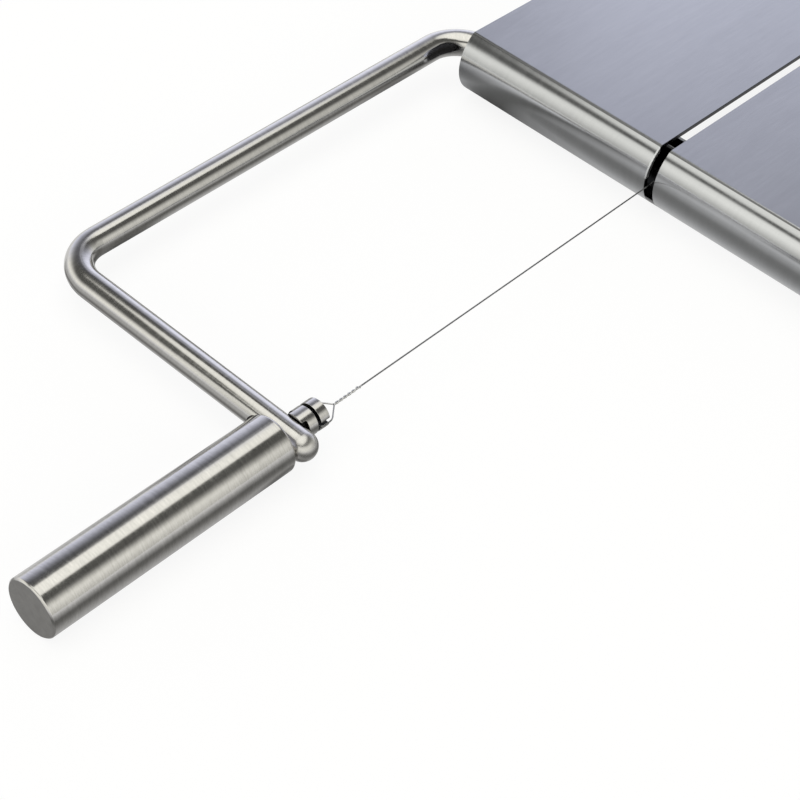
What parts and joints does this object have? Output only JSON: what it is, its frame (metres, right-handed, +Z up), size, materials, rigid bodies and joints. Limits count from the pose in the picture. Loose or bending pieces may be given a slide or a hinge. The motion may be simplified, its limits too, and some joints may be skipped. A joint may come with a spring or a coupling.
{
  "type": "foie gras slicer",
  "caption": "Steel board with rolled edges and a wire slot; a bent rod arm hinged in the front roll swings a wire, tightened by turning its handle, down through the slot.",
  "frame": {"origin": "on the table, under the middle of the whole slicer with its arm down in front", "axes": "+Z up, +Y from the handle to the board's far roll, +X along the rolls to the board's right end"},
  "size_m": [0.221, 0.3551, 0.0225],
  "materials": {
    "sheet_steel": "satin",
    "rod_steel": "satin",
    "turned_steel": "fine brushed",
    "wire_steel": "drawn",
    "washer_steel": "plain",
    "spring_steel": "blackened",
    "bush_plastic": "matt"
  },
  "bodies": {
    "base": {"board": "sheet_steel", "left_bush": "bush_plastic", "inner_bush": "bush_plastic", "thrust_washer": "washer_steel", "front_end_plug": "bush_plastic", "rear_left_plug": "bush_plastic", "rear_right_plug": "bush_plastic"},
    "arm": {"arm_rod": "rod_steel", "retaining_ring": "spring_steel", "wire_ferrule": "washer_steel", "cutting_wire": "wire_steel"},
    "stud": {"tension_stud": "turned_steel"},
    "handle": {"handle": "turned_steel"}
  },
  "joints": [
    {"name": "arm_hinge", "type": "hinge", "parent": "base", "child": "arm", "pos_m": [-0.023, 0.05505, 0.0125], "axis": [-1, 0, 0], "range_deg": [0, 182]},
    {"name": "handle_turn", "type": "hinge", "parent": "arm", "child": "handle", "pos_m": [-0.023, -0.09832, 0.00959], "axis": [0, 0.9998, 0.019], "range_deg": [-1080, 0]},
    {"name": "stud_slide", "type": "slide", "parent": "arm", "child": "stud", "axis": [0, 0.9998, 0.019], "range_m": [0, 0.00241], "deforming": ["cutting_wire"]}
  ],
  "couplings": [
    {"joint": "stud_slide", "follows": "handle_turn", "m_per_rad": -0.00012732}
  ]
}
